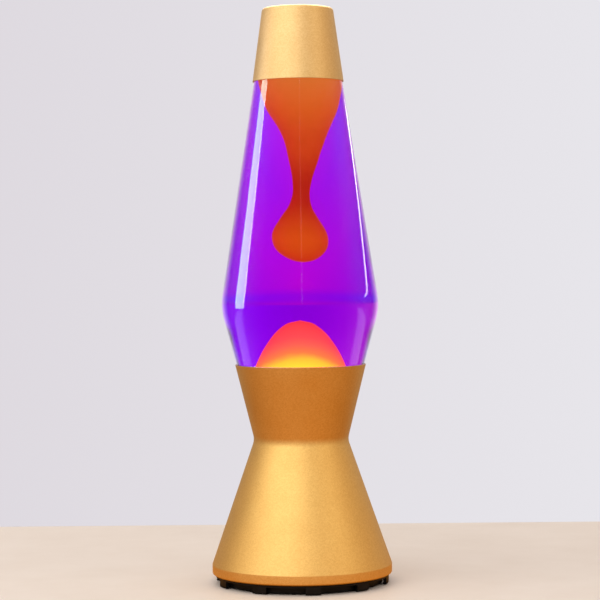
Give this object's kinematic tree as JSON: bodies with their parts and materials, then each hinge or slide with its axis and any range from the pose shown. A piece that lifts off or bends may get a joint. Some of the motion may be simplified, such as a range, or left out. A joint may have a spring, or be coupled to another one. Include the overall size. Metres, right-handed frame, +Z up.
{
  "type": "lava lamp",
  "caption": "Table lamp with an hourglass metal base, a tapered glass bottle of violet liquid and rising orange wax, and a loose metal cap.",
  "frame": {"origin": "on the table, under the lamp's axis", "axes": "+Z up along the lamp's axis, -Y towards the viewer of the picture, +X to that viewer's right; the cord's way out is at +Y"},
  "size_m": [0.1348, 0.1348, 0.43],
  "materials": {
    "gold_metal": "satin",
    "black_plastic": "matte",
    "black_rubber": "matte",
    "bottle_glass": "gloss",
    "violet_liquid": "gloss",
    "wax": "satin",
    "coil_steel": "satin",
    "crown_steel": "satin",
    "liner": "matte",
    "zinc_steel": "satin",
    "bracket_steel": "satin",
    "brass": "satin",
    "ceramic": "matte",
    "mirror_glass": "polished",
    "lens_glass": "gloss",
    "nylon": "satin",
    "sleeve_brown": "satin",
    "sleeve_blue": "satin",
    "sleeve_green": "satin"
  },
  "bodies": {
    "base": {"base_shell": "gold_metal", "foot_plate": "black_plastic", "foot_pad_1": "black_rubber", "foot_pad_2": "black_rubber", "foot_pad_3": "black_rubber", "foot_pad_4": "black_rubber", "cord_grommet": "black_rubber", "retaining_tab_1": "zinc_steel", "retaining_tab_2": "zinc_steel", "retaining_tab_3": "zinc_steel", "plate_screw_1": "zinc_steel", "plate_screw_2": "zinc_steel", "plate_screw_3": "zinc_steel", "lampholder_bracket": "bracket_steel", "bracket_screw_1": "zinc_steel", "bracket_screw_2": "zinc_steel", "bracket_nut_1": "zinc_steel", "bracket_nut_2": "zinc_steel", "lampholder": "ceramic", "lampholder_contact_1": "brass", "lampholder_contact_2": "brass", "lampholder_screw_1": "zinc_steel", "lampholder_screw_2": "zinc_steel", "terminal_block": "nylon", "terminal_block_screw": "zinc_steel", "terminal_barrel_1": "brass", "terminal_barrel_2": "brass", "terminal_barrel_3": "brass", "terminal_screw_1": "zinc_steel", "terminal_screw_2": "zinc_steel", "terminal_screw_3": "zinc_steel", "terminal_screw_4": "zinc_steel", "terminal_screw_5": "zinc_steel", "terminal_screw_6": "zinc_steel", "lead_live": "sleeve_brown", "lead_neutral": "sleeve_blue", "lead_earth": "sleeve_green", "earth_tag": "zinc_steel", "earth_nut": "zinc_steel"},
    "bulb": {"bulb_base": "ceramic", "bulb_pin_1": "brass", "bulb_pin_2": "brass", "bulb_reflector": "mirror_glass", "bulb_capsule": "bottle_glass", "bulb_lens": "lens_glass"},
    "bottle": {"bottle_glass": "bottle_glass", "liquid": "violet_liquid", "wax_column": "wax", "wax_mound": "wax", "heat_coil": "coil_steel", "crown_liner": "liner", "crown_cap": "crown_steel"},
    "cap": {"cap_shell": "gold_metal"}
  },
  "joints": [
    {"name": "bulb_twist", "type": "hinge", "parent": "base", "child": "bulb", "pos_m": [0, 0, 0.042], "axis": [0, 0, 1], "range_deg": [0, 40]},
    {"name": "bottle_lift", "type": "slide", "parent": "base", "child": "bottle", "axis": [0, 0, 1], "range_m": [0, 0.06]},
    {"name": "cap_lift", "type": "slide", "parent": "bottle", "child": "cap", "axis": [0, 0, 1], "range_m": [0, 0.06]}
  ]
}
